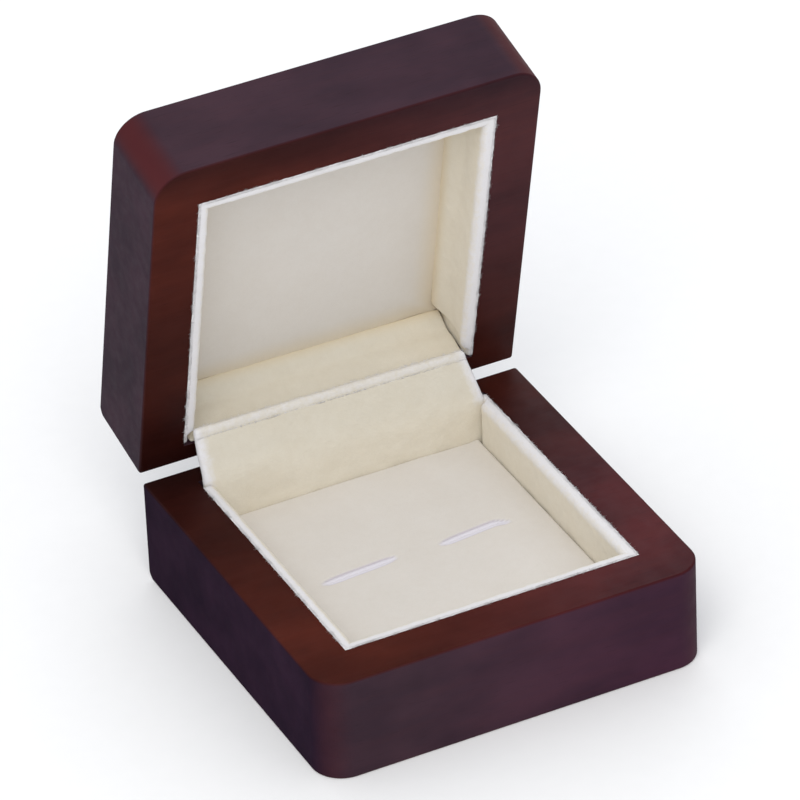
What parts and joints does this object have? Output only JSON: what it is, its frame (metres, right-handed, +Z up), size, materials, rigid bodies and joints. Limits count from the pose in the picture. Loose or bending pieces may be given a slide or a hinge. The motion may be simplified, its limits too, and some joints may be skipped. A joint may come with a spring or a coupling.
{
  "type": "ring box",
  "caption": "Square wooden ring box standing open, with a hinged lid, velvet covered lining boards, a slitted ring pad and a folding velvet flap over the hinges.",
  "frame": {"origin": "centre of the underside of the base, on the face that it stands on", "axes": "+X to the right along the hinge pins, +Y to the rear where the hinges are, +Z up"},
  "size_m": [0.08, 0.0952, 0.1019],
  "materials": {
    "mahogany": "satin dark mahogany stain",
    "velvet": "short pile cream velvet",
    "card": "plain grey-brown card",
    "felt": "thin dark felt",
    "brass": "satin",
    "steel": "satin"
  },
  "bodies": {
    "base": {"base_block": "mahogany", "base_felt": "felt", "base_liner_front": "velvet", "base_liner_left": "velvet", "base_liner_right": "velvet", "pad_card": "card", "ring_pad": "velvet", "flap_fixed_board": "velvet", "hinge_base_leaf_left": "brass", "hinge_base_leaf_right": "brass", "hinge_snap_spring_left": "steel", "hinge_snap_spring_right": "steel", "hinge_pin_left": "steel", "hinge_pin_right": "steel", "base_screw_left_outer": "brass", "base_screw_left_inner": "brass", "base_screw_right_outer": "brass", "base_screw_right_inner": "brass"},
    "lid": {"lid_block": "mahogany", "lid_liner_front": "velvet", "lid_liner_left": "velvet", "lid_liner_right": "velvet", "lid_liner_rear": "velvet", "lid_panel": "velvet", "hinge_lid_leaf_left": "brass", "hinge_lid_leaf_right": "brass", "lid_screw_left_outer": "brass", "lid_screw_left_inner": "brass", "lid_screw_right_outer": "brass", "lid_screw_right_inner": "brass"},
    "flap": {"flap_folding_board": "velvet"}
  },
  "joints": [
    {"name": "lid_hinge", "type": "hinge", "parent": "base", "child": "lid", "pos_m": [0, 0.03975, 0.0216], "axis": [1, 0, 0], "range_deg": [0, 77]},
    {"name": "flap_fold", "type": "hinge", "parent": "base", "child": "flap", "pos_m": [0, 0.03265, 0.0216], "axis": [1, 0, 0], "range_deg": [0, 38.5]}
  ],
  "couplings": [
    {"joint": "flap_fold", "follows": "lid_hinge", "ratio": 0.5}
  ]
}
